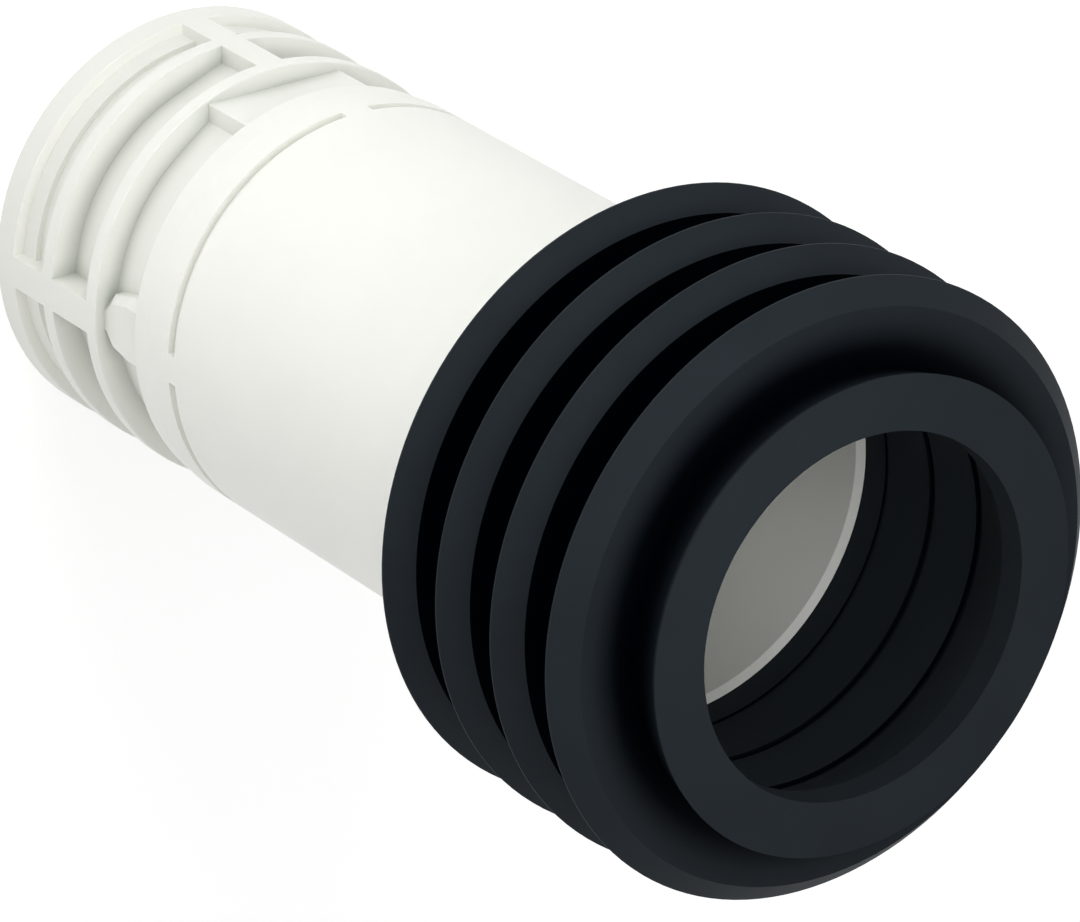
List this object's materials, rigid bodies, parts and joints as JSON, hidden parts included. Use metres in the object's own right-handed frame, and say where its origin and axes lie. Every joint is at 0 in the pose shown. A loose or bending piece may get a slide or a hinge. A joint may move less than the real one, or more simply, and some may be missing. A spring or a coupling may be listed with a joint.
{
  "type": "flush pipe",
  "caption": "Short white flush pipe with a ribbed, cored far end and a black rubber collar whose lips seal in the inlet of a toilet bowl.",
  "frame": {"origin": "centre of the far end face that the pipe stands on", "axes": "+Z along the pipe's axis, from the cored far end to the mouth of the rubber collar; the narrow ribs are across Y and the wide ribs across X"},
  "size_m": [0.0624, 0.0624, 0.117],
  "materials": {
    "white_plastic": "satin, injection moulded",
    "black_rubber": "matt, moulded"
  },
  "bodies": {
    "root": {"flush_pipe": "white_plastic", "rubber_collar": "black_rubber"}
  },
  "joints": []
}
